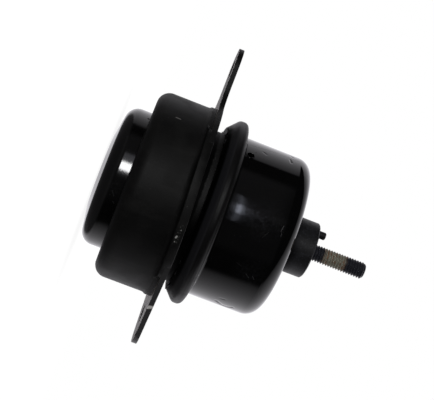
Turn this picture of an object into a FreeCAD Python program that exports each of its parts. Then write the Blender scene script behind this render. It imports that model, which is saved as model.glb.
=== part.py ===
"""Fluid-filled engine mount, upright on its lower cup, all dimensions in millimetres.

The mount axis is Z. The stud points up, the underside of the cup lies at Z = 0.
The long ear of the flange plate points along +Y and the broad ear along -Y.
"""
import FreeCAD
import Part

import math
import os

Vector = FreeCAD.Vector
AXIS = Vector(0, 0, 1)
ORIGIN = Vector(0, 0, 0)

# Sheet thicknesses of the pressed steel pieces
CUP_T = 1.5
CAN_T = 1.6
SHELL_T = 1.8
PLATE_T = 2.8

# Lower cup
CUP_R = 40.05
CUP_SLOPE_W = 18.55
CUP_SLOPE_RISE = 3.2
CUP_CORNER_R = 7.5
CUP_CROWN_R = 10.0
CUP_BEND_R = 1.5
CUP_FLANGE_W = 8.75
CUP_FLANGE_R = CUP_R + CUP_FLANGE_W
BREATHER_R = 1.5
BREATHER_OFFSET = 14.0

# Clamped stack inside the shell, from the cup's flange up to the plate
CUP_SHOWS_H = 15.3
SKIRT_H = 17.7
JACKET_END_Z = CUP_SHOWS_H
CUP_FLANGE_Z = JACKET_END_Z + SKIRT_H
BEAD_H = 3.0
TRACK_LOWER_H = 4.5
TRACK_UPPER_H = 4.2
RING_FLANGE_T = 2.0
BEAD_Z = CUP_FLANGE_Z + CUP_T
TRACK_Z = BEAD_Z + BEAD_H
TRACK_JOINT_Z = TRACK_Z + TRACK_LOWER_H
RING_Z = TRACK_JOINT_Z + TRACK_UPPER_H
PLATE_Z = RING_Z + RING_FLANGE_T
PLATE_TOP_Z = PLATE_Z + PLATE_T

# Crimped shell
SHELL_GAP = 0.2
SHELL_IN_R = CUP_FLANGE_R + SHELL_GAP
SHELL_OUT_R = SHELL_IN_R + SHELL_T
SHELL_LIP_W = 6.3
SHELL_LIP_R = CUP_FLANGE_R - SHELL_LIP_W
SHELL_LIP_Z = CUP_FLANGE_Z - SHELL_T
CRIMP_BEND_R = 0.6

# Rubber jacket
JACKET_WALL = 3.5
JACKET_R = SHELL_OUT_R + JACKET_WALL
JACKET_SHOULDER_R = 7.3
JACKET_EDGE_R = 0.5
JACKET_ROOT_R = 2.6
JACKET_FOOT_T = 1.9
JACKET_FOOT_RISE = 0.7
CUP_GAP = 0.1
SKIN_T = 0.9
SKIN_EDGE_R = 0.5
SKIN_HALF = 34.0

# Flange plate
PLATE_LEDGE = 3.9
DISC_R = JACKET_R + PLATE_LEDGE
EAR_HALF = 12.3
EAR_REACH = 20.95
EAR_LONG = DISC_R + EAR_REACH
EAR_NECK_R = 16.0
EAR_BROAD_REACH = 7.9
EAR_SHORT = DISC_R + EAR_BROAD_REACH
EAR_BROAD_R = 16.8
BOLT_HOLE_R = 5.25
BORE_INSET = 7.2
PLATE_BORE_R = CUP_FLANGE_R - BORE_INSET

# Diaphragm and its bead ring
BEAD_RING_W = 2.0
BEAD_W = 2.6
BEAD_OUT_R = CUP_FLANGE_R - BEAD_RING_W
BEAD_IN_R = BEAD_OUT_R - BEAD_W
DIAPHRAGM_T = 1.8
WEB_GAP = 0.1
FOLD_GAP = 2.15
FOLD_TAPER = 2.4
FOLD_W = 14.0
FOLD_Z = 16.0
FOLD_R = 6.0
CROWN_TAPER = 6.0
CROWN_H = 10.0
CROWN_R = 4.0

# Track plates and decoupler
TRACK_INSET = 7.8
TRACK_W = 10.0
TRACK_OUT_R = CUP_FLANGE_R - TRACK_INSET
TRACK_IN_R = TRACK_OUT_R - TRACK_W
TRACK_DEPTH = 3.0
TRACK_SWEEP = 300.0
PORT_R = 3.6
PORT_ANGLE = 8.0
CAGE_INSET = 7.0
CAGE_R = TRACK_IN_R - CAGE_INSET
CAGE_DEPTH = 1.6
CAGE_HOLE_R = 3.8
CAGE_HOLE_INSET = 9.5
CAGE_PITCH_R = CAGE_R - CAGE_HOLE_INSET
CAGE_HOLES = 6
DECOUPLER_T = 2.6
DECOUPLER_GAP = 0.4
DECOUPLER_EDGE_R = 0.6

# Bonded ring
RING_GAP = 0.1
RING_WALL = 1.9
RING_OUT_R = PLATE_BORE_R - RING_GAP
RING_IN_R = RING_OUT_R - RING_WALL
RING_SLEEVE_H = 5.0
RING_TOP_Z = PLATE_TOP_Z + RING_SLEEVE_H
RING_EDGE_R = 0.6

# Rubber spring, with its bare neck above the plate
NECK_WALL = 2.35
NECK_R = RING_OUT_R + NECK_WALL
NECK_H = 5.6
SPRING_SHOULDER_R = 7.0
SPRING_COLLAR_W = 3.0
SPRING_COLLAR_R = 3.0
SPRING_TONGUE = 2.0
SPRING_TONGUE_R = 1.5
SPRING_SKIN = 2.6
SPRING_HAUNCH_W = 3.0
SPRING_HAUNCH_H = 3.8
SPRING_HAUNCH_R = 6.0
SPRING_FOOT_GAP = 1.0
BOND_SHARE = 0.75

# Upper can
CAN_GAP = 1.05
CAN_R = NECK_R + CAN_GAP + CAN_T
CAN_H = 42.9
CAN_CORNER_R = 8.7
CAN_RIM_W = 4.1
CAN_RIM_R = CAN_R + CAN_RIM_W
CAN_BEND_R = 1.6
CAN_EDGE_R = 0.3
VENT_R = 2.25
VENT_H = 5.95
VENT_ANGLE = 129.0

# Rubber bumper round the can's rim
BUMPER_Z = PLATE_TOP_Z + NECK_H
BUMPER_UNDER_H = 9.4
CAN_RIM_Z = BUMPER_Z + BUMPER_UNDER_H
CAN_TOP_Z = CAN_RIM_Z + CAN_H
BUMPER_W = 3.35
BUMPER_R = CAN_RIM_R + BUMPER_W
BUMPER_FOOT_W = 3.95
BUMPER_FLANK_H = 5.75
BUMPER_OVER_H = 1.4
BUMPER_FLANK_R = 2.8
BUMPER_TOP_R = 2.6
BUMPER_FOOT_R = 0.6
BUMPER_HEEL = 4.0

# Core under the can's end
CORE_TOP_R = 20.0
CORE_FLANGE_W = 4.0
CORE_FLANGE_T = 4.0
CORE_END_R = 11.0
CORE_L = 35.3
CORE_TOP_Z = CAN_TOP_Z - CAN_T
CORE_END_Z = CORE_TOP_Z - CORE_L

# Boss, stud and peg
BOSS_R = 16.25
BOSS_H = 16.5
BOSS_TOP_Z = CAN_TOP_Z + BOSS_H
BOSS_CHAMFER = 0.6
SPIGOT_R = 9.0
SPIGOT_L = 4.0
SPIGOT_Z = CORE_TOP_Z - SPIGOT_L
STUD_R = 4.7625
STUD_CHAMFER = 1.1
STUD_FREE_L = 33.3
STUD_GRIP = 15.3
STUD_CLEARANCE = 0.1
STUD_NECK_R = 4.1
STUD_NECK_H = 0.9
STUD_ROOT_Z = SPIGOT_Z - STUD_GRIP
STUD_TOP_Z = BOSS_TOP_Z + STUD_FREE_L
PEG_R = 2.2
PEG_OUT_L = 5.7
PEG_IN_L = 7.4
PEG_OFFSET = 10.5
PEG_CHAMFER = 0.5
PEG_ROOT_Z = BOSS_TOP_Z - PEG_IN_L
PEG_TOP_Z = BOSS_TOP_Z + PEG_OUT_L

# How far a cutting tool runs past the face it cuts
OVERRUN = 1.0


def profile_wire(points):
    """Closed wire in the X-Z half plane; a third number on a corner is the radius that rounds it."""
    arcs = []
    count = len(points)
    for i in range(count):
        corner = Vector(points[i][0], 0, points[i][1])
        if len(points[i]) == 2:
            arcs.append((corner, None, corner))
            continue
        radius = points[i][2]
        before = Vector(points[i - 1][0], 0, points[i - 1][1])
        after = Vector(points[(i + 1) % count][0], 0, points[(i + 1) % count][1])
        back = (before - corner).normalize()
        ahead = (after - corner).normalize()
        half = back.getAngle(ahead) / 2
        inward = (back + ahead).normalize()
        start = corner + back * (radius / math.tan(half))
        end = corner + ahead * (radius / math.tan(half))
        middle = corner + inward * (radius / math.sin(half) - radius)
        arcs.append((start, middle, end))
    edges = []
    for i in range(count):
        start, middle, end = arcs[i]
        if middle is not None:
            edges.append(Part.Arc(start, middle, end).toShape())
        following = arcs[(i + 1) % count][0]
        if end.distanceToPoint(following) > 1e-6:
            edges.append(Part.makeLine(end, following))
    return Part.Wire(edges)


def turned(points, angle=360.0):
    """Solid of revolution about Z of a closed r-z outline."""
    solid = Part.Face(profile_wire(points)).revolve(ORIGIN, AXIS, angle)
    if solid.Volume < 0:
        solid.reverse()
    return solid


def rod(radius, z_low, z_high, x=0.0, y=0.0):
    return Part.makeCylinder(radius, z_high - z_low, Vector(x, y, z_low))


def plate_outline():
    """Disc with a narrow long ear on +Y and a broad tapering ear on -Y."""
    neck_x = EAR_HALF + EAR_NECK_R
    neck_y = math.sqrt((DISC_R + EAR_NECK_R) ** 2 - neck_x ** 2)
    share = DISC_R / (DISC_R + EAR_NECK_R)
    root = (neck_x * share, neck_y * share)
    to_root = Vector(-neck_x, -neck_y, 0).normalize()
    bulge = (Vector(-1, 0, 0) + to_root).normalize() * EAR_NECK_R
    neck_mid = (neck_x + bulge.x, neck_y + bulge.y)
    sine = (DISC_R - EAR_BROAD_R) / EAR_SHORT
    cosine = math.sqrt(1 - sine * sine)
    hip = (DISC_R * cosine, -DISC_R * sine)
    toe = (EAR_BROAD_R * cosine, -EAR_SHORT - EAR_BROAD_R * sine)

    def at(point, side=1):
        return Vector(side * point[0], point[1], 0)

    shoulder = (EAR_HALF, neck_y)
    tip = (EAR_HALF, EAR_LONG)
    edges = [
        Part.makeLine(at(shoulder), at(tip)),
        Part.Arc(at(tip), Vector(0, EAR_LONG + EAR_HALF, 0), at(tip, -1)).toShape(),
        Part.makeLine(at(tip, -1), at(shoulder, -1)),
        Part.Arc(at(shoulder, -1), at(neck_mid, -1), at(root, -1)).toShape(),
        Part.Arc(at(root, -1), Vector(-DISC_R, 0, 0), at(hip, -1)).toShape(),
        Part.makeLine(at(hip, -1), at(toe, -1)),
        Part.Arc(at(toe, -1), Vector(0, -EAR_SHORT - EAR_BROAD_R, 0), at(toe)).toShape(),
        Part.makeLine(at(toe), at(hip)),
        Part.Arc(at(hip), Vector(DISC_R, 0, 0), at(root)).toShape(),
        Part.Arc(at(root), at(neck_mid), at(shoulder)).toShape(),
    ]
    return Part.Wire(edges)


def flange_plate():
    blank = Part.Face(plate_outline()).extrude(Vector(0, 0, PLATE_T))
    blank.translate(Vector(0, 0, PLATE_Z))
    plate = blank.cut(rod(PLATE_BORE_R, PLATE_Z - OVERRUN, PLATE_TOP_Z + OVERRUN))
    for y in (EAR_LONG, -EAR_SHORT):
        plate = plate.cut(rod(BOLT_HOLE_R, PLATE_Z - OVERRUN, PLATE_TOP_Z + OVERRUN, 0, y))
    return plate


def lower_cup():
    """Drawn cup: flat middle, shallow slope, round corner, straight wall and a turned-out flange."""
    flat_r = CUP_R - CUP_SLOPE_W
    slope = math.atan2(CUP_SLOPE_RISE, CUP_SLOPE_W)
    inner_r = CUP_R - CUP_T
    inner_flat_r = flat_r - CUP_T * math.tan(slope / 2)
    inner_rise = CUP_T + (inner_r - inner_flat_r) * math.tan(slope)
    body = turned([
        (0, 0),
        (flat_r, 0, CUP_CROWN_R),
        (CUP_R, CUP_SLOPE_RISE, CUP_CORNER_R),
        (CUP_R, CUP_FLANGE_Z, CUP_BEND_R),
        (CUP_FLANGE_R, CUP_FLANGE_Z, CRIMP_BEND_R),
        (CUP_FLANGE_R, BEAD_Z),
        (inner_r, BEAD_Z, CUP_BEND_R + CUP_T),
        (inner_r, inner_rise, CUP_CORNER_R - CUP_T),
        (inner_flat_r, CUP_T, CUP_CROWN_R - CUP_T),
        (0, CUP_T),
    ])
    return body.cut(rod(BREATHER_R, -OVERRUN, CUP_T + OVERRUN, BREATHER_OFFSET, 0))


def lower_shell():
    """Steel ring with its lower edge rolled in under the cup's flange."""
    return turned([
        (SHELL_IN_R, PLATE_Z),
        (SHELL_IN_R, CUP_FLANGE_Z, CRIMP_BEND_R),
        (SHELL_LIP_R, CUP_FLANGE_Z),
        (SHELL_LIP_R, SHELL_LIP_Z),
        (SHELL_OUT_R, SHELL_LIP_Z, CRIMP_BEND_R + SHELL_T),
        (SHELL_OUT_R, PLATE_Z),
    ])


def rubber_jacket(plate):
    """Thick collar over the shell and round the cup, with a thin skin over the plate's rim."""
    inner_r = CUP_R + CUP_GAP
    foot_z = PLATE_Z - JACKET_FOOT_T
    skin_r = DISC_R + SKIN_T
    body = turned([
        (inner_r, JACKET_END_Z, JACKET_EDGE_R),
        (JACKET_R, JACKET_END_Z, JACKET_SHOULDER_R),
        (JACKET_R, foot_z - JACKET_FOOT_RISE, JACKET_ROOT_R),
        (skin_r, foot_z, SKIN_EDGE_R),
        (skin_r, PLATE_Z),
        (SHELL_OUT_R, PLATE_Z),
        (SHELL_OUT_R, SHELL_LIP_Z, CRIMP_BEND_R + SHELL_T),
        (inner_r, SHELL_LIP_Z),
    ])
    skin = turned([
        (DISC_R - SKIN_T, PLATE_Z),
        (skin_r, PLATE_Z),
        (skin_r, PLATE_TOP_Z, SKIN_EDGE_R),
        (DISC_R - SKIN_T, PLATE_TOP_Z),
    ])
    reach = 2 * DISC_R
    corner = Vector(-reach, -SKIN_HALF, PLATE_Z - PLATE_T)
    window = Part.makeBox(2 * reach, 2 * SKIN_HALF, 3 * PLATE_T, corner)
    return body.fuse(skin.common(window)).cut(plate).removeSplitter()


def bead_ring():
    """Steel spacer round the diaphragm's bead."""
    return turned([
        (BEAD_OUT_R, BEAD_Z),
        (CUP_FLANGE_R, BEAD_Z),
        (CUP_FLANGE_R, TRACK_Z),
        (BEAD_OUT_R, TRACK_Z),
    ])


def diaphragm():
    """Rolled rubber bag: clamped bead, a fold that hangs in the cup and a raised middle."""
    t = DIAPHRAGM_T
    web = BEAD_Z + WEB_GAP
    out_r = CUP_R - CUP_T - FOLD_GAP
    low_r = out_r - FOLD_TAPER
    in_r = low_r - FOLD_W
    crown_r = in_r - CROWN_TAPER
    crown_z = FOLD_Z + CROWN_H
    return turned([
        (0, crown_z),
        (crown_r, crown_z, CROWN_R),
        (in_r, FOLD_Z, FOLD_R - WEB_GAP),
        (low_r, FOLD_Z, FOLD_R),
        (out_r, web, t + WEB_GAP),
        (BEAD_IN_R, web),
        (BEAD_IN_R, BEAD_Z),
        (BEAD_OUT_R, BEAD_Z),
        (BEAD_OUT_R, TRACK_Z),
        (BEAD_IN_R, TRACK_Z),
        (BEAD_IN_R, web + t),
        (out_r - t, web + t, t / 2),
        (low_r - t, FOLD_Z + t, FOLD_R - t),
        (in_r + t / 2, FOLD_Z + t, FOLD_R - t),
        (crown_r + t / 2, crown_z + t, CROWN_R),
        (0, crown_z + t),
    ])


def cage_holes(z_low, z_high):
    tools = [rod(CAGE_HOLE_R, z_low, z_high)]
    for i in range(CAGE_HOLES):
        turn = 2 * math.pi * i / CAGE_HOLES
        x = CAGE_PITCH_R * math.cos(turn)
        y = CAGE_PITCH_R * math.sin(turn)
        tools.append(rod(CAGE_HOLE_R, z_low, z_high, x, y))
    return tools


def port(angle, z_low, z_high):
    middle = (TRACK_IN_R + TRACK_OUT_R) / 2
    turn = math.radians(angle)
    return rod(PORT_R, z_low, z_high, middle * math.cos(turn), middle * math.sin(turn))


def lower_track_plate():
    """Lower half of the orifice pair, with the ring channel that the fluid runs round."""
    plate = rod(CUP_FLANGE_R, TRACK_Z, TRACK_JOINT_Z)
    channel = turned([
        (TRACK_IN_R, TRACK_JOINT_Z - TRACK_DEPTH),
        (TRACK_OUT_R, TRACK_JOINT_Z - TRACK_DEPTH),
        (TRACK_OUT_R, TRACK_JOINT_Z + OVERRUN),
        (TRACK_IN_R, TRACK_JOINT_Z + OVERRUN),
    ], TRACK_SWEEP)
    plate = plate.cut(channel)
    plate = plate.cut(rod(CAGE_R, TRACK_JOINT_Z - CAGE_DEPTH, TRACK_JOINT_Z + OVERRUN))
    plate = plate.cut(port(TRACK_SWEEP - PORT_ANGLE, TRACK_Z - OVERRUN, TRACK_JOINT_Z))
    for tool in cage_holes(TRACK_Z - OVERRUN, TRACK_JOINT_Z):
        plate = plate.cut(tool)
    return plate


def upper_track_plate():
    """Upper half of the orifice pair, with the other port and the top of the decoupler's cage."""
    plate = rod(CUP_FLANGE_R, TRACK_JOINT_Z, RING_Z)
    plate = plate.cut(rod(CAGE_R, TRACK_JOINT_Z - OVERRUN, TRACK_JOINT_Z + CAGE_DEPTH))
    plate = plate.cut(port(PORT_ANGLE, TRACK_JOINT_Z - OVERRUN, RING_Z + OVERRUN))
    for tool in cage_holes(TRACK_JOINT_Z, RING_Z + OVERRUN):
        plate = plate.cut(tool)
    return plate


def decoupler():
    floor = TRACK_JOINT_Z - CAGE_DEPTH
    radius = CAGE_R - DECOUPLER_GAP
    return turned([
        (0, floor),
        (radius, floor, DECOUPLER_EDGE_R),
        (radius, floor + DECOUPLER_T, DECOUPLER_EDGE_R),
        (0, floor + DECOUPLER_T),
    ])


def outer_ring():
    """Pressed ring: flange held by the crimp, sleeve standing in the plate's bore."""
    return turned([
        (RING_IN_R, RING_Z, RING_WALL / 2),
        (CUP_FLANGE_R, RING_Z),
        (CUP_FLANGE_R, PLATE_Z),
        (RING_OUT_R, PLATE_Z),
        (RING_OUT_R, RING_TOP_Z, RING_EDGE_R),
        (RING_IN_R, RING_TOP_Z, RING_EDGE_R),
    ])


def main_spring():
    """Rubber cone between the core and the ring, with the bare neck above the plate."""
    cone_h = CORE_L - CORE_FLANGE_T
    bond_z = CORE_END_Z + BOND_SHARE * cone_h
    bond_r = CORE_END_R + BOND_SHARE * (CORE_TOP_R - CORE_END_R)
    foot_z = RING_Z + SPRING_FOOT_GAP
    skin_r = RING_IN_R - SPRING_SKIN
    tongue_r = CORE_END_R - SPRING_COLLAR_W
    return turned([
        (RING_OUT_R, PLATE_TOP_Z),
        (NECK_R, PLATE_TOP_Z, RING_EDGE_R / 2),
        (NECK_R, CAN_RIM_Z, SPRING_SHOULDER_R),
        (bond_r + SPRING_COLLAR_W, bond_z - RING_EDGE_R, SPRING_COLLAR_R),
        (bond_r, bond_z),
        (CORE_END_R, CORE_END_Z),
        (tongue_r, CORE_END_Z),
        (tongue_r, CORE_END_Z - SPRING_TONGUE, SPRING_TONGUE_R),
        (skin_r - SPRING_HAUNCH_W, foot_z + SPRING_HAUNCH_H, SPRING_HAUNCH_R),
        (skin_r, foot_z, SPRING_FOOT_GAP),
        (RING_IN_R, foot_z),
        (RING_IN_R, RING_TOP_Z, RING_EDGE_R),
        (RING_OUT_R, RING_TOP_Z, RING_EDGE_R),
    ])


def inner_core():
    """Steel cone with a flange against the can's end, a socket for the boss and a bore for the stud."""
    flange_z = CORE_TOP_Z - CORE_FLANGE_T
    body = turned([
        (0, CORE_END_Z),
        (CORE_END_R, CORE_END_Z),
        (CORE_TOP_R, flange_z),
        (CORE_TOP_R + CORE_FLANGE_W, flange_z),
        (CORE_TOP_R + CORE_FLANGE_W, CORE_TOP_Z),
        (0, CORE_TOP_Z),
    ])
    body = body.cut(rod(SPIGOT_R, SPIGOT_Z, CORE_TOP_Z + OVERRUN))
    return body.cut(rod(STUD_R, STUD_ROOT_Z, CORE_TOP_Z + OVERRUN))


def upper_can():
    """Drawn can, open end down, with a turned-out rim and one vent hole low in its wall."""
    inner_r = CAN_R - CAN_T
    rim_top = CAN_RIM_Z + CAN_T
    body = turned([
        (SPIGOT_R, CAN_TOP_Z),
        (SPIGOT_R, CORE_TOP_Z),
        (inner_r, CORE_TOP_Z, CAN_CORNER_R - CAN_T),
        (inner_r, CAN_RIM_Z, CAN_BEND_R + CAN_T),
        (CAN_RIM_R, CAN_RIM_Z, CAN_EDGE_R),
        (CAN_RIM_R, rim_top, CAN_EDGE_R),
        (CAN_R, rim_top, CAN_BEND_R),
        (CAN_R, CAN_TOP_Z, CAN_CORNER_R),
    ])
    start = Vector(CAN_R - 3 * CAN_T, 0, CAN_RIM_Z + VENT_H)
    vent = Part.makeCylinder(VENT_R, 6 * CAN_T, start, Vector(1, 0, 0))
    vent.rotate(ORIGIN, AXIS, VENT_ANGLE)
    return body.cut(vent)


def rim_bumper():
    """Rubber lip under and round the can's rim, with a sloping flank towards the plate."""
    top_z = CAN_RIM_Z + BUMPER_OVER_H
    return turned([
        (NECK_R, BUMPER_Z, BUMPER_FOOT_R / 2),
        (NECK_R + BUMPER_FOOT_W, BUMPER_Z, BUMPER_FOOT_R),
        (BUMPER_R, BUMPER_Z + BUMPER_FLANK_H, BUMPER_FLANK_R),
        (BUMPER_R, top_z, BUMPER_TOP_R),
        (CAN_RIM_R, top_z),
        (CAN_RIM_R, CAN_RIM_Z, CAN_EDGE_R),
        (CAN_R + CAN_BEND_R, CAN_RIM_Z),
        (NECK_R, CAN_RIM_Z - BUMPER_HEEL),
    ])


def stud_boss():
    """Spacer on the can's end, with a spigot below and a chamfered rim on top."""
    bore_r = STUD_R + STUD_CLEARANCE
    body = turned([
        (bore_r, SPIGOT_Z),
        (SPIGOT_R, SPIGOT_Z),
        (SPIGOT_R, CAN_TOP_Z),
        (BOSS_R, CAN_TOP_Z),
        (BOSS_R, BOSS_TOP_Z - BOSS_CHAMFER),
        (BOSS_R - BOSS_CHAMFER, BOSS_TOP_Z),
        (bore_r, BOSS_TOP_Z),
    ])
    return body.cut(rod(PEG_R, PEG_ROOT_Z, BOSS_TOP_Z + OVERRUN, 0, PEG_OFFSET))


def locating_peg():
    peg = rod(PEG_R, PEG_ROOT_Z, PEG_TOP_Z, 0, PEG_OFFSET)
    rim = [edge for edge in peg.Edges if edge.BoundBox.ZMin > PEG_TOP_Z - PEG_CHAMFER]
    return peg.makeChamfer(PEG_CHAMFER, rim)


def stud():
    """Plain rod at the thread's outside diameter, with a relief groove where it leaves the boss."""
    return turned([
        (0, STUD_ROOT_Z),
        (STUD_R - STUD_CHAMFER, STUD_ROOT_Z),
        (STUD_R, STUD_ROOT_Z + STUD_CHAMFER),
        (STUD_R, BOSS_TOP_Z),
        (STUD_NECK_R, BOSS_TOP_Z),
        (STUD_NECK_R, BOSS_TOP_Z + STUD_NECK_H),
        (STUD_R, BOSS_TOP_Z + STUD_NECK_H),
        (STUD_R, STUD_TOP_Z - STUD_CHAMFER),
        (STUD_R - STUD_CHAMFER, STUD_TOP_Z),
        (0, STUD_TOP_Z),
    ])


plate_solid = flange_plate()
pieces = {
    "lower_cup": lower_cup(),
    "lower_shell": lower_shell(),
    "rubber_jacket": rubber_jacket(plate_solid),
    "flange_plate": plate_solid,
    "bead_ring": bead_ring(),
    "diaphragm": diaphragm(),
    "lower_track_plate": lower_track_plate(),
    "upper_track_plate": upper_track_plate(),
    "decoupler": decoupler(),
    "outer_ring": outer_ring(),
    "main_spring": main_spring(),
    "inner_core": inner_core(),
    "upper_can": upper_can(),
    "rim_bumper": rim_bumper(),
    "stud_boss": stud_boss(),
    "locating_peg": locating_peg(),
    "stud": stud(),
}

os.makedirs("parts", exist_ok=True)
for name, shape in pieces.items():
    if not shape.isValid() or len(shape.Solids) != 1:
        raise ValueError(name + " is not one valid solid")
    shape.exportStep("parts/" + name + ".step")
    print(name, round(shape.Volume, 1))
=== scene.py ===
# %% [markdown]
# # A fluid-filled engine mount
# The mount stands upright on its lower cup. Cup, rubber jacket, flange plate, rubber bumper, drawn can,
# boss and stud follow each other up the Z axis. The solids come ready made, so this script dresses them:
# it cuts the thread on the stud, adds the flash that the rubber moulds leave, sets the plate a little
# askew as it is on the photographed mount, and gives every surface its finish, with lamps, a floor and a
# camera.

import math

import bmesh
import bpy
from mathutils import Matrix, Vector


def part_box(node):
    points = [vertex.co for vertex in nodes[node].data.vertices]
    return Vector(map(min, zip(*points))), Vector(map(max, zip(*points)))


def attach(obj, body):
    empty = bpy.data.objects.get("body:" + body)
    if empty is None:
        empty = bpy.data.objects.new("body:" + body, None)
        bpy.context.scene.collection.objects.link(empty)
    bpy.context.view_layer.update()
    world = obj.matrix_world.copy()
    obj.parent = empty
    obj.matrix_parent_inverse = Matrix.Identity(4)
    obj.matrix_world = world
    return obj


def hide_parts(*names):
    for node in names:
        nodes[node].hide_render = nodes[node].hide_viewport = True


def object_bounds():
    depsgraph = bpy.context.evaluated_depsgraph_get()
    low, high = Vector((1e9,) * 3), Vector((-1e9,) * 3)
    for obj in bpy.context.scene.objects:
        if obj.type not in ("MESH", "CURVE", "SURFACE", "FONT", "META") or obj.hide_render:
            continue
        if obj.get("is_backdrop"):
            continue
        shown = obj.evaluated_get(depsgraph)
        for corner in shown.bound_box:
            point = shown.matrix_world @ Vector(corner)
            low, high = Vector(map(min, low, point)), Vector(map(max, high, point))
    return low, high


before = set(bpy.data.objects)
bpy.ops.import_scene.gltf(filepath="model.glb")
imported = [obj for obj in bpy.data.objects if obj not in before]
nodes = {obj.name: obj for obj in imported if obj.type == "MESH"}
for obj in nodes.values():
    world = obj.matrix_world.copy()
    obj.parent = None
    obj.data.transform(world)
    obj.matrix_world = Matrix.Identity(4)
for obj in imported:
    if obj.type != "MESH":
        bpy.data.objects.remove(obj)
cad_low, cad_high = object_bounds()
scene = bpy.context.scene
scene.view_settings.view_transform = "Standard"
print("solids:", len(nodes), "height in mm:", round((cad_high.z - cad_low.z) * 1000, 1))

# %% [markdown]
# ## Main sizes
# The added pieces take their heights from the boxes of the solids, and a few radii are given as numbers.
# The plate's solid has ears, so its thickness comes from its box and its rim from the jacket that wraps it.

# %% Sizes of the solids
plate_low, plate_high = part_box("flange_plate")
jacket_low, jacket_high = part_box("rubber_jacket")
bumper_low, bumper_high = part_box("rim_bumper")
can_low, can_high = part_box("upper_can")
boss_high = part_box("stud_boss")[1]
stud_low, stud_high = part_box("stud")

RIM_W = 0.0041
CAN_R = can_high.x - RIM_W
JACKET_R = 0.0543
CUP_R = 0.04005
NECK_R = 0.04385
PLATE_R = 0.0582
print("can radius in mm:", round(CAN_R * 1000, 2), "plate from", round(plate_low.z * 1000, 1))

# %% [markdown]
# ## The camera
# The photograph looks square-on at the mount from the side of the vent hole, from about half a metre, and
# a little below the level of the plate. The picture is also turned: the mount's axis runs down to the
# right by 21 degrees. Only the camera rolls here, so the mount keeps standing on its cup.

# %% Camera
PHOTO_W, PHOTO_H = 434, 400
PIXEL = 0.00056
AXIS_ROLL = math.radians(21.0)
camera_at = Vector((-0.5544, 0.0, 0.0180))
aim_at = Vector((0.0, 0.0080, 0.0662))

sight = (aim_at - camera_at).normalized()
along_axis = sight.cross(Vector((0, 1, 0))).normalized()
if along_axis.z < 0:
    along_axis = -along_axis
across_axis = sight.cross(along_axis)
if across_axis.y < 0:
    across_axis = -across_axis
right = along_axis * math.cos(AXIS_ROLL) + across_axis * math.sin(AXIS_ROLL)
up = across_axis * math.cos(AXIS_ROLL) - along_axis * math.sin(AXIS_ROLL)
reach = (aim_at - camera_at).length

lens = bpy.data.cameras.new("photo_camera")
lens.sensor_width = 36.0
lens.lens = reach / PIXEL / PHOTO_W * lens.sensor_width
lens.clip_start = 0.01
camera = bpy.data.objects.new("photo_camera", lens)
scene.collection.objects.link(camera)
camera.matrix_world = Matrix.Translation(camera_at) @ Matrix((right, up, -sight)).transposed().to_4x4()
scene.camera = camera
print("lens in mm:", round(lens.lens, 1))

# %% [markdown]
# ## Placing a mark by what the photograph shows
# Scratches, chips and flash are where the photograph shows them. The surfaces that carry them are all
# turned about Z, so a mark's place is where the camera's line through a point of the photograph first
# meets a cylinder of the right radius. The place is then fixed on the object and doesn't follow the
# camera.


# %% From a point of the photograph to the object
def seen_at(pixel_x, pixel_y, radius):
    """Point of a cylinder about Z that lies behind this point of the photograph."""
    ray = sight * reach + (right * (pixel_x - PHOTO_W / 2) - up * (pixel_y - PHOTO_H / 2)) * PIXEL
    a = ray.x ** 2 + ray.y ** 2
    b = 2 * (camera_at.x * ray.x + camera_at.y * ray.y)
    c = camera_at.x ** 2 + camera_at.y ** 2 - radius ** 2
    root = max(b * b - 4 * a * c, 0.0)
    return camera_at + ray * ((-b - math.sqrt(root)) / (2 * a))


spot = seen_at(225, 304, CAN_R)
print("a mark near the can's lower edge, in mm:", [round(v * 1000, 1) for v in spot])

# %% [markdown]
# ## Small helpers for materials
# Each finish is a node tree on Object coordinates, which are metres here, because every object sits at
# the origin. A helper that makes a node, sets its values and links its inputs keeps those trees short to
# read.


# %% Node helpers
def node(tree, kind, values=None, links=None, **settings):
    """Adds a node, sets its properties, its input values and its incoming links."""
    made = tree.nodes.new(kind)
    for key, value in settings.items():
        setattr(made, key, value)
    for key, value in (values or {}).items():
        made.inputs[key].default_value = value
    for key, socket in (links or {}).items():
        tree.links.new(socket, made.inputs[key])
    return made


def plug(tree, socket, value):
    """Sets a plain value on a socket, or links another socket to it."""
    if isinstance(value, tuple):
        socket.default_value = value + (1.0,) * (len(socket.default_value) - len(value))
    elif isinstance(value, (int, float)):
        socket.default_value = value
    else:
        tree.links.new(value, socket)


def maths(tree, operation, first, second=0.0, third=0.0, clamp=False):
    made = node(tree, "ShaderNodeMath", operation=operation, use_clamp=clamp)
    for i, value in enumerate((first, second, third)):
        plug(tree, made.inputs[i], value)
    return made.outputs[0]


def band(tree, value, low, high, out_low=0.0, out_high=1.0):
    """Smooth step from out_low at low to out_high at high."""
    made = node(tree, "ShaderNodeMapRange", interpolation_type="SMOOTHSTEP")
    for key, number in (("Value", value), ("From Min", low), ("From Max", high), ("To Min", out_low),
                        ("To Max", out_high)):
        plug(tree, made.inputs[key], number)
    return made.outputs["Result"]


def between(tree, value, low, high, soft):
    """One between low and high, zero outside, with soft edges."""
    rise = band(tree, value, low - soft, low + soft)
    fall = band(tree, value, high - soft, high + soft, 1.0, 0.0)
    return maths(tree, "MULTIPLY", rise, fall)


def nodes_in(build):
    """How many nodes a helper adds, counted in a trial tree."""
    trial = bpy.data.node_groups.new("trial", "ShaderNodeTree")
    build(trial)
    count = len(trial.nodes)
    bpy.data.node_groups.remove(trial)
    return count


print("nodes in a soft-edged belt:", nodes_in(lambda tree: between(tree, 0.5, 0.2, 0.8, 0.1)))

# %% [markdown]
# Most masks start from where a point lies on the object or from a noise over it. A noise alone looks like
# cloud. Squeezed along one axis it looks wiped or streaked, and cut off by a smooth step it gives
# separate flecks.


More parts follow.
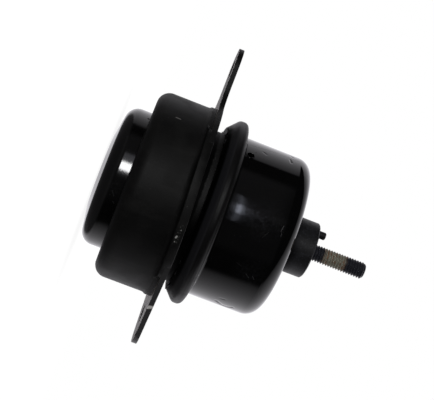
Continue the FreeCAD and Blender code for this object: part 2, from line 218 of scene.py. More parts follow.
# %% Position, noise and colour helpers
def place_of(tree):
    """Object position and its three coordinates."""
    position = node(tree, "ShaderNodeTexCoord").outputs["Object"]
    split = node(tree, "ShaderNodeSeparateXYZ", links={0: position})
    return position, split.outputs["X"], split.outputs["Y"], split.outputs["Z"]


def noise(tree, position, scale, detail=2.0, roughness=0.5, stretch=(1.0, 1.0, 1.0)):
    """Noise whose scale counts its waves in a metre; stretch squeezes it along an axis."""
    moved = node(tree, "ShaderNodeMapping", {"Scale": stretch}, {"Vector": position})
    made = node(tree, "ShaderNodeTexNoise", {"Scale": scale, "Detail": detail, "Roughness": roughness},
                {"Vector": moved.outputs[0]})
    return made.outputs["Fac"]


def mix(tree, factor, first, second):
    made = node(tree, "ShaderNodeMix", data_type="RGBA")
    for key, value in (("Factor", factor), ("A", first), ("B", second)):
        socket = [s for s in made.inputs if s.name == key and s.enabled][0]
        plug(tree, socket, value)
    return [s for s in made.outputs if s.enabled][0]


def largest(tree, *masks):
    result = masks[0]
    for mask in masks[1:]:
        result = maths(tree, "MAXIMUM", result, mask)
    return result


print("nodes in a noise over the object:", nodes_in(lambda tree: noise(tree, place_of(tree)[0], 100.0)))

# %% [markdown]
# A stroke is the distance to a short straight line on the surface. It draws a scratch, a rub or, with
# both ends at one point, a speck. A bend in a scratch is two strokes that share an end.


# %% Strokes and specks
def stroke(tree, position, start, end, width, soft=0.4):
    """One inside a line from start to end of this width, falling to zero at its border."""
    along = end - start
    square = max(along.length_squared, 1e-12)
    rest = node(tree, "ShaderNodeVectorMath", {1: start}, {0: position}, operation="SUBTRACT")
    dot = node(tree, "ShaderNodeVectorMath", {1: along / square}, {0: rest.outputs[0]},
               operation="DOT_PRODUCT")
    share = maths(tree, "MULTIPLY", dot.outputs["Value"], 1.0, clamp=True)
    foot = node(tree, "ShaderNodeVectorMath", {0: along}, {"Scale": share}, operation="SCALE")
    away = node(tree, "ShaderNodeVectorMath", links={0: rest.outputs[0], 1: foot.outputs[0]},
                operation="DISTANCE")
    return band(tree, away.outputs["Value"], width * (1 - soft), width * (1 + soft), 1.0, 0.0)


def strokes(tree, position, radius, lines):
    """Strokes on a turned surface through points of the photograph, each with its half width in mm."""
    masks = []
    for x0, y0, x1, y1, half_mm in lines:
        ends = seen_at(x0, y0, radius), seen_at(x1, y1, radius)
        masks.append(stroke(tree, position, ends[0], ends[1], half_mm / 1000))
    return largest(tree, *masks)


one_speck = ((225.0, 250.0, 225.5, 250.0, 0.3),)
speck_nodes = nodes_in(lambda tree: strokes(tree, place_of(tree)[0], CAN_R, one_speck))
print("nodes in one speck:", speck_nodes)

# %% [markdown]
# The surface itself is always one Principled shader. Grain, scratches and orange peel reach it as a bump,
# and only what varies over the surface is linked. What is the same all over is set on the shader's own
# socket.


# %% The shader
def new_material(name):
    material = bpy.data.materials.new(name)
    material.use_nodes = True
    material.node_tree.nodes.clear()
    return material, material.node_tree


def surface(tree, colour, roughness, height=None, height_mm=0.02, strength=1.0, **fixed):
    """Principled surface with an optional bump; fixed names further sockets."""
    shader = node(tree, "ShaderNodeBsdfPrincipled")
    plug(tree, shader.inputs["Base Color"], colour)
    plug(tree, shader.inputs["Roughness"], roughness)
    for key, value in fixed.items():
        plug(tree, shader.inputs[key.replace("_", " ")], value)
    if height is not None:
        bump = node(tree, "ShaderNodeBump", {"Strength": strength, "Distance": height_mm / 1000},
                    {"Height": height})
        tree.links.new(bump.outputs["Normal"], shader.inputs["Normal"])
    node(tree, "ShaderNodeOutputMaterial", links={"Surface": shader.outputs[0]})
    return shader


def dress(node_name, material):
    """Gives a solid's own object a finish, leaving its mesh alone."""
    for material_slot in nodes[node_name].material_slots:
        material_slot.link = "OBJECT"
        material_slot.material = material


plain_nodes = nodes_in(lambda tree: surface(tree, (0.1, 0.1, 0.1), 0.5))
print("nodes in a plain surface:", plain_nodes)

# %% [markdown]
# ## Gloss black paint
# The can and the cup are drawn steel under a thin gloss black coat. Such a coat is never a perfect
# mirror. It has a faint orange peel, fine dust specks, and hazy rubs where parts knocked together in a
# box. A rub spreads the reflection, so it shows dark inside a bright reflection and light inside a dark
# one. A little pale dust in the rub keeps it in sight where nothing is reflected. The marks come first,
# each as a short line between two points of the photograph with its half width in millimetres. Most dents
# sit low on the can and at its shoulder.

# %% Marks on the paint
CAN_RUBS = (
    (192.0, 288.2, 194.6, 284.6, 0.35), (199.6, 275.0, 200.4, 273.8, 0.30),
    (255.6, 152.8, 256.4, 152.4, 0.35), (230.6, 301.6, 231.4, 302.2, 0.25),
    (208.0, 280.0, 208.6, 288.0, 0.14), (246.0, 274.0, 248.4, 277.6, 0.30),
    (236.4, 262.4, 241.8, 266.2, 0.14), (252.6, 276.4, 254.0, 279.4, 0.30),
    (284.0, 226.0, 281.0, 231.4, 0.16), (269.0, 232.0, 262.0, 238.0, 0.08),
    (282.0, 233.0, 280.6, 236.6, 0.14), (251.6, 145.2, 276.0, 153.0, 0.45),
    (276.0, 153.0, 299.0, 161.6, 0.35),
)
CAN_DENTS = (
    (216.6, 300.8, 221.4, 304.6, 1.1), (221.4, 304.6, 226.0, 306.4, 1.5), (226.0, 306.4, 232.0, 307.2, 1.1),
    (291.0, 156.4, 293.2, 158.0, 0.9), (290.4, 159.8, 291.6, 163.0, 0.7), (264.0, 152.6, 266.4, 154.6, 0.6),
    (220.6, 298.4, 224.6, 299.4, 0.6),
)
CUP_RUBS = ((112.4, 190.6, 113.6, 196.0, 0.28), (112.6, 201.2, 113.8, 203.4, 0.25))
CUP_DENTS = ((122.0, 214.0, 125.0, 217.0, 0.20), (148.6, 118.6, 149.2, 119.8, 0.45))
can_hazes = ((seen_at(265, 220, CAN_R), 0.015), (seen_at(250, 273, CAN_R), 0.011))
cup_hazes = ((seen_at(116, 187, CUP_R), 0.005),)
print("rubs on the can:", len(CAN_RUBS), "on the cup:", len(CUP_RUBS))
print("dents on the can:", len(CAN_DENTS), "on the cup:", len(CUP_DENTS))

# %% [markdown]
# The finish itself works for both pieces. The orange peel is a very low bump with a wave of two or three
# millimetres. A dent is a deeper bump that also reflects less, since its far side looks away from the
# light.


# %% Gloss paint
def gloss_paint(name, radius, rubs, dents, hazes, least_rough):
    material, tree = new_material(name)
    position = place_of(tree)[0]
    peel = noise(tree, position, 380.0, 2.0)
    specks = band(tree, noise(tree, position, 1300.0, 1.0), 0.74, 0.80)
    marks = strokes(tree, position, radius, rubs)
    hollows = strokes(tree, position, radius, dents)
    mottle = band(tree, noise(tree, position, 700.0, 4.0, 0.75), 0.40, 0.66)
    near = []
    for centre, reach_m in hazes:
        away = node(tree, "ShaderNodeVectorMath", {1: centre}, {0: position}, operation="DISTANCE")
        near.append(band(tree, away.outputs["Value"], reach_m * 0.3, reach_m, 1.0, 0.0))
    hazy = maths(tree, "MULTIPLY", largest(tree, *near), mottle)
    pale = largest(tree, maths(tree, "MULTIPLY", specks, 0.35), maths(tree, "MULTIPLY", hazy, 0.12),
                   maths(tree, "MULTIPLY", marks, 0.16))
    colour = mix(tree, pale, (0.0022, 0.0022, 0.0023), (0.050, 0.050, 0.055))
    rough = maths(tree, "MULTIPLY_ADD", hazy, 0.055, least_rough)
    rough = maths(tree, "MULTIPLY_ADD", marks, 0.30, rough)
    shine = maths(tree, "MULTIPLY_ADD", hollows, -0.40, 0.50)
    relief = maths(tree, "MULTIPLY_ADD", hollows, -4.0, maths(tree, "MULTIPLY", peel, 0.05))
    surface(tree, colour, rough, relief, 0.06, 1.0, IOR=1.5, Specular_IOR_Level=shine)
    return material


can_paint = gloss_paint("can_paint", CAN_R, CAN_RUBS, CAN_DENTS, can_hazes, 0.055)
cup_paint = gloss_paint("cup_paint", CUP_R, CUP_RUBS, CUP_DENTS, cup_hazes, 0.15)
dress("upper_can", can_paint)
dress("lower_cup", cup_paint)
print("nodes in the can's paint:", len(can_paint.node_tree.nodes))

# %% [markdown]
# ## Rubber
# Three rubber pieces show: the thick jacket, the bumper round the can's rim and the bare neck of the
# spring. Moulded rubber is matte with a fine grain, dusty where it was rubbed, with small pale flecks of
# mould dust.


# %% Rubber
def rubber(name, base, dusty, roughness, dust_share, shine=0.5, scuffs=None, chips=None, pale_belt=None,
           painted_shade_top=None):
    """Matte rubber; scuffs and chips are (radius, strokes), the pale belt is (low, high, share), the foot
    painted shade.
    """
    material, tree = new_material(name)
    position, _, _, z = place_of(tree)
    grain = noise(tree, position, 2200.0, 3.0, 0.6)
    cloud = band(tree, noise(tree, position, 70.0, 4.0, 0.62), 0.40, 0.72)
    drag = band(tree, noise(tree, position, 160.0, 3.0, 0.6, (1.0, 1.0, 0.22)), 0.50, 0.74)
    flecks = band(tree, noise(tree, position, 1150.0, 2.0, 0.6), 0.68, 0.76)
    dust_and_painted_light = maths(tree, "MULTIPLY", maths(tree, "ADD", cloud, drag), dust_share)
    dust_and_painted_light = maths(tree, "MAXIMUM", dust_and_painted_light, maths(tree, "MULTIPLY", flecks, 0.45))
    if pale_belt:
        belt = between(tree, z, pale_belt[0], pale_belt[1], 0.0004)
        dust_and_painted_light = maths(tree, "MAXIMUM", dust_and_painted_light, maths(tree, "MULTIPLY", belt, pale_belt[2]))
    colour = mix(tree, dust_and_painted_light, base, dusty)
    if scuffs:
        colour = mix(tree, strokes(tree, position, scuffs[0], scuffs[1]), colour, (0.13, 0.125, 0.12))
    if chips:
        speckle = band(tree, noise(tree, position, 1500.0, 2.0), 0.57, 0.66)
        chipped = maths(tree, "MULTIPLY", strokes(tree, position, chips[0], chips[1]), speckle)
        nick = strokes(tree, position, chips[0], chips[2])
        chipped = maths(tree, "MAXIMUM", maths(tree, "MULTIPLY", chipped, 0.16), nick)
        colour = mix(tree, chipped, colour, (0.42, 0.42, 0.40))
    rough = maths(tree, "MULTIPLY_ADD", cloud, 0.10, roughness)
    # From the given foot height up, the colour turns from painted shade, near black with little shine, to its
    # own.
    if painted_shade_top is not None:
        clear_of_painted_shade = band(tree, z, painted_shade_top, painted_shade_top + 0.0016)
        colour = mix(tree, clear_of_painted_shade, (0.0008, 0.0008, 0.0008), colour)
        shine = maths(tree, "MULTIPLY_ADD", clear_of_painted_shade, shine - 0.06, 0.06)
    surface(tree, colour, rough, grain, 0.08, 0.7, IOR=1.45, Specular_IOR_Level=shine)
    return material


bag_rubber = rubber("bag_rubber", (0.0110, 0.0110, 0.0110), (0.040, 0.040, 0.040), 0.60, 0.10)
dress("diaphragm", bag_rubber)
dress("decoupler", bag_rubber)
print("nodes in the bag's rubber:", len(bag_rubber.node_tree.nodes))

# %% [markdown]
# The jacket carries a few pale scuffs. Where it is turned over the plate's rim, the skin is only a
# millimetre thick and is worn through in bright nicks. The bumper has a paler, greyer belt round its
# widest part, and its foot is painted black as shade, with little shine.

# %% Jacket and bumper
JACKET_MARKS = (
    (211.0, 127.6, 211.8, 124.4, 0.45), (176.2, 117.4, 180.6, 119.2, 0.35),
    (103.4, 262.0, 101.0, 254.0, 0.20),
)
SKIN_WEAR = ((182.0, 227.0, 174.5, 243.0, 1.0), (187.6, 208.0, 187.0, 206.8, 0.45))
SKIN_NICKS = (
    (175.8, 237.6, 176.8, 236.4, 0.42), (181.0, 230.6, 181.3, 230.1, 0.15),
    (174.2, 242.0, 174.5, 241.4, 0.16),
)
jacket_rubber = rubber("jacket_rubber", (0.0026, 0.0026, 0.0024), (0.045, 0.044, 0.041), 0.52, 0.10, 0.30,
                       (JACKET_R, JACKET_MARKS), (jacket_high.x, SKIN_WEAR, SKIN_NICKS))
# The bumper's foot is painted shade.
bumper_rubber = rubber("bumper_rubber", (0.0016, 0.0016, 0.0018), (0.045, 0.045, 0.052), 0.44, 0.04, 0.34,
                       pale_belt=(bumper_low.z + 0.0022, bumper_low.z + 0.0058, 0.34),
                       painted_shade_top=bumper_low.z + 0.0014)
dress("rim_bumper", bumper_rubber)
print("scuffs on the jacket:", len(JACKET_MARKS), "nicks in its skin:", len(SKIN_NICKS))

# %% [markdown]
# The bare neck of the spring lies deep between the plate and the bumper. Its root is painted black as
# shade, and the belt just under the bumper is painted lighter as lit, with a dusty mottle, more on the
# long ear's side. A mask by height and side tells the two apart.


# %% Neck of the spring
def neck_rubber():
    material, tree = new_material("spring_rubber")
    position, _, y, z = place_of(tree)
    wander = maths(tree, "MULTIPLY_ADD", noise(tree, position, 260.0, 3.0), 0.0012, z)
    # The belt is painted light with a dusty mottle, fuller towards the long ear's side; the black round it is
    # painted shade.
    belt = between(tree, wander, plate_high.z + 0.0034, bumper_low.z + 0.0008, 0.0005)
    belt = maths(tree, "MULTIPLY", belt, band(tree, y, -0.014, 0.012, 0.0, 1.0))
    belt = maths(tree, "MULTIPLY", belt, band(tree, y, 0.024, 0.038, 1.0, 0.45))
    worn = band(tree, noise(tree, position, 1100.0, 3.0, 0.7), 0.56, 0.72)
    dust_and_painted_light = maths(tree, "MULTIPLY", belt, maths(tree, "MULTIPLY_ADD", worn, 0.8, 0.14))
    colour = mix(tree, dust_and_painted_light, (0.0010, 0.0010, 0.0010), (0.060, 0.060, 0.057))
    shine = maths(tree, "MULTIPLY_ADD", belt, 0.30, 0.06)
    grain = noise(tree, position, 2200.0, 3.0, 0.6)
    rough = maths(tree, "MULTIPLY_ADD", grain, 0.2, 0.5)
    surface(tree, colour, rough, grain, 0.05, 0.6, Specular_IOR_Level=shine)
    return material


spring_rubber = neck_rubber()
dress("main_spring", spring_rubber)
print("nodes in the neck's rubber:", len(spring_rubber.node_tree.nodes))

# %% [markdown]
# ## The plate's dark coat
# The flange plate is pressed steel with a thin dark phosphate. The long handling of a bare plate rubs its
# edge through in specks, most on the near rim. Faces that turn down to the cup are coloured a paler brown
# and made half metallic, and the way a face looks tells them from the rest. The broad ear has one bright
# nick across its edge and is rubbed shinier than the long ear.

# %% Plate finish
PLATE_WEAR = ((152.0, 296.0, 146.0, 312.0, 1.6), (224.0, 88.0, 229.0, 74.0, 0.8))
PLATE_NICKS = ((147.0, 307.4, 151.4, 308.2, 1.2), (146.0, 309.8, 148.4, 310.2, 0.8))
EAR_EDGE_R = 0.0650


def plate_finish():
    material, tree = new_material("plate_coat")
    position, x, y, _ = place_of(tree)
    grain = noise(tree, position, 900.0, 4.0, 0.6)
    rubbed = strokes(tree, position, PLATE_R, PLATE_WEAR)
    specks = maths(tree, "MULTIPLY", rubbed, band(tree, noise(tree, position, 1500.0, 2.0), 0.56, 0.66))
    nicks = strokes(tree, position, EAR_EDGE_R, PLATE_NICKS)
    normal = node(tree, "ShaderNodeTexCoord").outputs["Normal"]
    facing = node(tree, "ShaderNodeSeparateXYZ", links={0: normal})
    under = band(tree, facing.outputs["Z"], -0.9, -0.7, 1.0, 0.0)
    patches = band(tree, noise(tree, position, 130.0, 4.0, 0.65), 0.46, 0.66)
    dark = mix(tree, maths(tree, "MULTIPLY", patches, 0.3), (0.0060, 0.0060, 0.0061), (0.022, 0.021, 0.020))
    brown = mix(tree, patches, (0.17, 0.145, 0.125), (0.42, 0.38, 0.35))
    # A short dark line is painted across the cup side of the broad ear.
    dark_line = maths(tree, "MULTIPLY", between(tree, x, -0.006, 0.000, 0.001), band(tree, y, -0.070, -0.066))
    brown = mix(tree, maths(tree, "MULTIPLY", dark_line, 0.85), brown, (0.010, 0.009, 0.008))
    colour = mix(tree, under, dark, brown)
    bright = maths(tree, "MAXIMUM", maths(tree, "MULTIPLY", specks, 0.6), nicks)
    colour = mix(tree, bright, colour, (0.80, 0.78, 0.75))
    metal = maths(tree, "MULTIPLY", under, 0.5)
    rough = maths(tree, "MULTIPLY_ADD", grain, 0.20, 0.36)
    shine = band(tree, y, -0.075, 0.070, 0.56, 0.17)
    surface(tree, colour, rough, grain, 0.04, 0.5, Metallic=metal, Specular_IOR_Level=shine)
    return material


plate_coat = plate_finish()
print("nodes in the plate's coat:", len(plate_coat.node_tree.nodes))

# %% [markdown]
# ## Cast and phosphated boss, and the metals inside
# The boss and its peg have a matte, faintly blue phosphate with a fine grain, and pale flecks are painted
# into its colour as sparkle. The boss's root by the can is painted black as shade, reaching higher on the
# broad ear's side. What is sealed inside is bare pressed steel and die-cast alloy, drawn with the same plain
# grain and flecks.


# %% Other metals
def grained_metal(name, base, lit, roughness, grain_scale, metallic, grain_mm=0.04, painted_shade_root=None):
    material, tree = new_material(name)
    position, _, y, z = place_of(tree)
    grain = noise(tree, position, grain_scale, 3.0, 0.6)
    # Pale flecks from a fine noise are painted sparkle in the colour.
    sparkle = band(tree, noise(tree, position, grain_scale * 0.8, 1.0), 0.56, 0.70)
    patches = band(tree, noise(tree, position, 150.0, 4.0, 0.65), 0.42, 0.70)
    shade = maths(tree, "MULTIPLY_ADD", patches, 0.30, maths(tree, "MULTIPLY", sparkle, 0.7))
    colour = mix(tree, maths(tree, "MULTIPLY", shade, 1.0, clamp=True), base, lit)
    rough = maths(tree, "MULTIPLY_ADD", grain, 0.20, roughness)
    shine = 0.5
    # From the given root height up, the colour turns from painted shade, near black with little shine, to its
    # own; the shade reaches higher on the broad ear's side.
    if painted_shade_root is not None:
        clear_of_painted_shade = band(tree, maths(tree, "MULTIPLY_ADD", y, 0.06, z), painted_shade_root + 0.0015, painted_shade_root + 0.0090)
        colour = mix(tree, clear_of_painted_shade, (0.0012, 0.0012, 0.0014), colour)
        shine = maths(tree, "MULTIPLY_ADD", clear_of_painted_shade, 0.46, 0.04)
    surface(tree, colour, rough, grain, grain_mm, 0.6, Metallic=metallic, Specular_IOR_Level=shine)
    return material


# The boss's root by the can is painted shade.
boss_coat = grained_metal("boss_coat", (0.0060, 0.0060, 0.0076), (0.040, 0.041, 0.052), 0.40, 1700.0, 0.1,
                          painted_shade_root=can_high.z)
plain_steel = grained_metal("plain_steel", (0.30, 0.30, 0.31), (0.45, 0.44, 0.42), 0.25, 700.0, 1.0, 0.01)
track_alloy = grained_metal("track_alloy", (0.50, 0.50, 0.52), (0.62, 0.62, 0.64), 0.30, 1200.0, 1.0, 0.01)
dress("stud_boss", boss_coat)
dress("locating_peg", boss_coat)
STEEL_INSIDE = ("lower_shell", "bead_ring", "outer_ring", "inner_core")
ALLOY_INSIDE = ("lower_track_plate", "upper_track_plate")
for inner in STEEL_INSIDE:
    dress(inner, plain_steel)
for inner in ALLOY_INSIDE:
    dress(inner, track_alloy)
print("steel pieces inside:", len(STEEL_INSIDE), "alloy pieces inside:", len(ALLOY_INSIDE))

# %% [markdown]
# ## The stud's steel
# The stud is dark and oily near the boss and at its tip. The middle is bare dull steel with a bronze
# tone, and a little rust sits where the bare band begins and ends. The height along the stud drives the
# change, and a noise makes its borders wander as a wiped thread does.

# %% Stud steel
BAND_START, BAND_END = 0.1336, 0.1468


def stud_finish():
    material, tree = new_material("stud_steel")
    position, x, y, z = place_of(tree)
    wander = noise(tree, position, 520.0, 2.0)
    height = maths(tree, "MULTIPLY_ADD", wander, 0.0020, z)
    rise = band(tree, height, BAND_START, BAND_START + 0.0022)
    fall = band(tree, height, BAND_END - 0.0004, BAND_END + 0.0018, 1.0, 0.0)
    bare = maths(tree, "MULTIPLY", rise, fall)
    covered = maths(tree, "SUBTRACT", 1.0, bare)
    edge = maths(tree, "MULTIPLY", maths(tree, "MULTIPLY", bare, covered), 4.0, clamp=True)
    blotch = band(tree, noise(tree, position, 900.0, 2.0), 0.44, 0.62)
    square = maths(tree, "ADD", maths(tree, "MULTIPLY", x, x), maths(tree, "MULTIPLY", y, y))
    root = band(tree, maths(tree, "SQRT", square), 0.00415, 0.00450, 1.0, 0.0)
    streak = band(tree, noise(tree, position, 260.0, 2.0, 0.5, (1.0, 1.0, 2.2)), 0.50, 0.60)
    rooted = maths(tree, "MULTIPLY", maths(tree, "MULTIPLY", bare, root), streak)
    rust = maths(tree, "MAXIMUM", maths(tree, "MULTIPLY", edge, blotch), rooted)
    worn = mix(tree, noise(tree, position, 1500.0, 3.0), (0.235, 0.222, 0.172), (0.480, 0.460, 0.380))
    steel = mix(tree, bare, (0.0400, 0.0410, 0.0520), worn)
    colour = mix(tree, maths(tree, "MULTIPLY", rust, 0.75), steel, (0.270, 0.105, 0.040))
    rough = maths(tree, "MULTIPLY_ADD", noise(tree, position, 1500.0, 2.0), 0.2, 0.34)
    surface(tree, colour, rough, noise(tree, position, 2400.0, 2.0), 0.03, 0.4, Metallic=0.35)
    return material


stud_steel = stud_finish()
dress("stud", stud_steel)
print("bare band on the stud, in mm:", round((BAND_END - BAND_START) * 1000, 1))

# %% [markdown]
# ## Geometry by rule
# What repeats or follows a rule is made by a Geometry Nodes tree that this small class builds line by
# line. The tree runs once, its result is kept as a plain mesh, and the modifier is removed before the
# piece is handed on.


# %% Geometry Nodes helper
class Rule:
    """A Geometry Nodes tree with named inputs."""

    def __init__(self, name, **inputs):
        self.group = bpy.data.node_groups.new(name, "GeometryNodeTree")
        self.group.interface.new_socket("Geometry", in_out="OUTPUT", socket_type="NodeSocketGeometry")
        self.given = {}
        for key, number in inputs.items():
            kind = "NodeSocketInt" if isinstance(number, int) else "NodeSocketFloat"
            socket = self.group.interface.new_socket(key, in_out="INPUT", socket_type=kind)
            self.given[socket.identifier] = number
        self.start = self.group.nodes.new("NodeGroupInput")
        self.end = self.group.nodes.new("NodeGroupOutput")

    def value(self, key):
        return self.start.outputs[key]

    def add(self, kind, values=None, links=None, **settings):
        return node(self.group, kind, values, links, **settings)

    def maths(self, operation, first, second=0.0, third=0.0, clamp=False):
        return maths(self.group, operation, first, second, third, clamp)

    def polar(self):
        """Angle about Z, distance from Z and height of each point."""
        at = self.add("GeometryNodeInputPosition")
        xyz = self.add("ShaderNodeSeparateXYZ", links={0: at.outputs[0]})
        x, y, z = xyz.outputs["X"], xyz.outputs["Y"], xyz.outputs["Z"]
        square = self.maths("ADD", self.maths("MULTIPLY", x, x), self.maths("MULTIPLY", y, y))
        far = self.maths("SQRT", square)
        return self.maths("ARCTAN2", y, x), far, z

    def run(self, name, geometry, material, body="root"):
        """Closes the tree, runs it and hands on its result as a plain mesh."""
        real = self.add("GeometryNodeRealizeInstances", links={"Geometry": geometry})
        painted = self.add("GeometryNodeSetMaterial", {"Material": material}, {"Geometry": real.outputs[0]})
        self.group.links.new(painted.outputs[0], self.end.inputs[0])
        piece = bpy.data.objects.new(name, bpy.data.meshes.new(name + "_seed"))
        scene.collection.objects.link(piece)
        modifier = piece.modifiers.new("rule", "NODES")
        modifier.node_group = self.group
        for identifier, number in self.given.items():
            modifier[identifier] = number
        graph = bpy.context.evaluated_depsgraph_get()
        mesh = bpy.data.meshes.new_from_object(piece.evaluated_get(graph), depsgraph=graph)
        piece.modifiers.clear()
        piece.data = mesh
        mesh.name = name
        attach(piece, body)
        print(name, "faces:", len(mesh.polygons))
        return piece


trial = Rule("trial_rule", Radius=0.01, Count=3)
print("inputs of a trial rule:", [item.name for item in trial.group.interface.items_tree][1:])
bpy.data.node_groups.remove(trial.group)

# %% [markdown]
# ### The stud's thread
# A finely divided cylinder is moved in or out point by point. The distance from the axis follows a
# triangle wave of the height less the turn times the pitch, which is what a screw thread is: one ridge on
# a helix. A swept ridge would have to be joined to a rod, and this gives one closed surface. The first
# turn runs in gently, and the tip keeps the solid's chamfer.

# %% Thread on the stud
THREAD_PITCH = 0.0015875
MAJOR_R = stud_high.x
MINOR_R = 0.00395
GROOVE_R = 0.0041
GROOVE_H = 0.0009
STEPS_PER_TURN = 12
stud_length = stud_high.z - stud_low.z

thread = Rule(
    "thread_rule", Low=stud_low.z, Length=stud_length, Start=boss_high.z + GROOVE_H, Groove=GROOVE_H,
    Pitch=THREAD_PITCH, Major=MAJOR_R, Minor=MINOR_R, GrooveR=GROOVE_R, Tip=0.0011,
    Steps=int(stud_length / THREAD_PITCH * STEPS_PER_TURN))
rod = thread.add("GeometryNodeMeshCylinder", {"Vertices": 48}, {
    "Side Segments": thread.value("Steps"), "Radius": thread.value("Major"), "Depth": thread.value("Length")})
middle = thread.maths("MULTIPLY_ADD", thread.value("Length"), 0.5, thread.value("Low"))
lift = thread.add("ShaderNodeCombineXYZ", links={"Z": middle})
stood = thread.add("GeometryNodeSetPosition", links={
    "Geometry": rod.outputs["Mesh"], "Offset": lift.outputs[0]})
print("turns on the stud:", round(stud_length / THREAD_PITCH, 1))

# %% [markdown]
# The height less the turn times the pitch, cut to its fraction, climbs from 0 to 1 once for each ridge.
# Folded about its middle, stretched and clipped it gives the flat crest, the flank and the flat root of a
# cut thread.

# %% The ridge
angle, far, z = thread.polar()
turns = thread.maths("DIVIDE", angle, 2 * math.pi)
risen = thread.maths("DIVIDE", z, thread.value("Pitch"))
climb = thread.maths("FRACT", thread.maths("SUBTRACT", risen, turns))
wave = thread.maths("ABSOLUTE", thread.maths("MULTIPLY_ADD", climb, 2.0, -1.0))
flank = thread.maths("MULTIPLY_ADD", wave, 1.25, -0.125, clamp=True)
cut = thread.maths("MULTIPLY", flank, thread.maths("SUBTRACT", thread.value("Major"), thread.value("Minor")))
above = thread.maths("SUBTRACT", z, thread.value("Start"))
run_in = thread.maths("DIVIDE", above, thread.value("Pitch"), clamp=True)
threaded_r = thread.maths("SUBTRACT", thread.value("Major"), thread.maths("MULTIPLY", cut, run_in))
top = thread.maths("ADD", thread.value("Low"), thread.value("Length"))
nose = thread.maths("ADD", thread.maths("SUBTRACT", thread.value("Major"), thread.value("Tip")),
                    thread.maths("SUBTRACT", top, z))
threaded_r = thread.maths("MINIMUM", threaded_r, nose)
print("depth of the thread in mm:", round((MAJOR_R - MINOR_R) * 1000, 2))

# %% [markdown]
# A short groove at the stud's root takes the run-out of the die, as on the solid. Then each point moves
# straight out or in to the radius that the rule wants, and the piece stands for the solid's smooth stud.

# %% Groove and the finished stud
groove_foot = thread.maths("MULTIPLY", thread.value("Groove"), -1.0)
over_foot = thread.maths("GREATER_THAN", above, groove_foot)
in_groove = thread.maths("MULTIPLY", thread.maths("LESS_THAN", above, -1e-6), over_foot)
groove_depth = thread.maths("SUBTRACT", thread.value("Major"), thread.value("GrooveR"))
grooved_r = thread.maths("MULTIPLY", in_groove, groove_depth)
wanted_r = thread.maths("SUBTRACT", threaded_r, grooved_r)
share = thread.maths("DIVIDE", wanted_r, thread.maths("MAXIMUM", far, 1e-6))
scale = thread.add("ShaderNodeCombineXYZ", {"Z": 1.0}, {"X": share, "Y": share})
at = thread.add("GeometryNodeInputPosition")
moved = thread.add("ShaderNodeVectorMath", links={0: at.outputs[0], 1: scale.outputs[0]},
                   operation="MULTIPLY")
shaped = thread.add("GeometryNodeSetPosition", links={
    "Geometry": stood.outputs[0], "Position": moved.outputs[0]})
threaded = thread.run("threaded_stud", shaped.outputs[0], stud_steel)
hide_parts("stud")

# %% [markdown]
# ### Flash on the rubber
# Two mould halves meet at the bumper's foot and at the jacket's end. Rubber squeezes out between them and
# is torn off by hand, which leaves a ragged fin. Here it is a thin ring whose outer edge is pushed out by
# noise, so most of it lies flush and a few tongues stand proud.


# %% Torn flash
def torn_flash(name, radius, height, proud, thick, lean, material, seed, wave_scale=60.0, keep=0.55):
    rule = Rule(name + "_rule", Radius=radius, Height=height, Proud=proud, Thick=thick, Lean=lean,
                Waves=wave_scale, Keep=keep, Seed=seed, Points=720)
    ring = rule.add("GeometryNodeCurvePrimitiveCircle", links={
        "Resolution": rule.value("Points"), "Radius": rule.value("Radius")})
    up_by = rule.add("ShaderNodeCombineXYZ", links={"Z": rule.value("Height")})
    raised = rule.add("GeometryNodeSetPosition", links={
        "Geometry": ring.outputs["Curve"], "Offset": up_by.outputs[0]})
    section = rule.add("GeometryNodeCurvePrimitiveCircle", {"Resolution": 6}, {"Radius": rule.value("Thick")})
    tube = rule.add("GeometryNodeCurveToMesh", links={
        "Curve": raised.outputs[0], "Profile Curve": section.outputs["Curve"]})
    at = rule.add("GeometryNodeInputPosition")
    ragged = rule.add("ShaderNodeTexNoise", {"Detail": 3.0, "Roughness": 0.7}, {
        "Vector": at.outputs[0], "Scale": rule.value("Waves"), "W": rule.value("Seed")},
        noise_dimensions="4D")
    tongue = rule.maths("MAXIMUM", rule.maths("SUBTRACT", ragged.outputs[0], rule.value("Keep")), 0.0)
    angle, far, _ = rule.polar()
    outside = rule.maths("MULTIPLY", rule.maths("SUBTRACT", far, rule.value("Radius")), 1.0 / thick)
    push = rule.maths("MULTIPLY", rule.maths("MULTIPLY", tongue, 4.0), rule.maths("MAXIMUM", outside, 0.0))
    push = rule.maths("MULTIPLY", push, rule.value("Proud"))
    along_x = rule.maths("MULTIPLY", rule.maths("COSINE", angle), push)
    along_y = rule.maths("MULTIPLY", rule.maths("SINE", angle), push)
    down = rule.maths("MULTIPLY", push, rule.value("Lean"))
    offset = rule.add("ShaderNodeCombineXYZ", links={"X": along_x, "Y": along_y, "Z": down})
    torn = rule.add("GeometryNodeSetPosition", links={
        "Geometry": tube.outputs[0], "Offset": offset.outputs[0]})
    return rule.run(name, torn.outputs[0], material)


FOOT_R = NECK_R + 0.0036
torn_flash("bumper_flash", FOOT_R, bumper_low.z + 0.0004, 0.0030, 0.00045, -0.45, bumper_rubber,
           5, 70.0, 0.47)
torn_flash("jacket_flash", JACKET_R - 0.0064, jacket_low.z + 0.0004, 0.0022, 0.0003, -0.8, jacket_rubber,
           11, 45.0, 0.54)

# %% [markdown]
# ### The bumper's parting line
# The bumper's mould parts just inside the top of its lip. It leaves a hair-thin raised line that runs
# right round and wavers slightly, and it is the fine light line beside the can in the photograph.

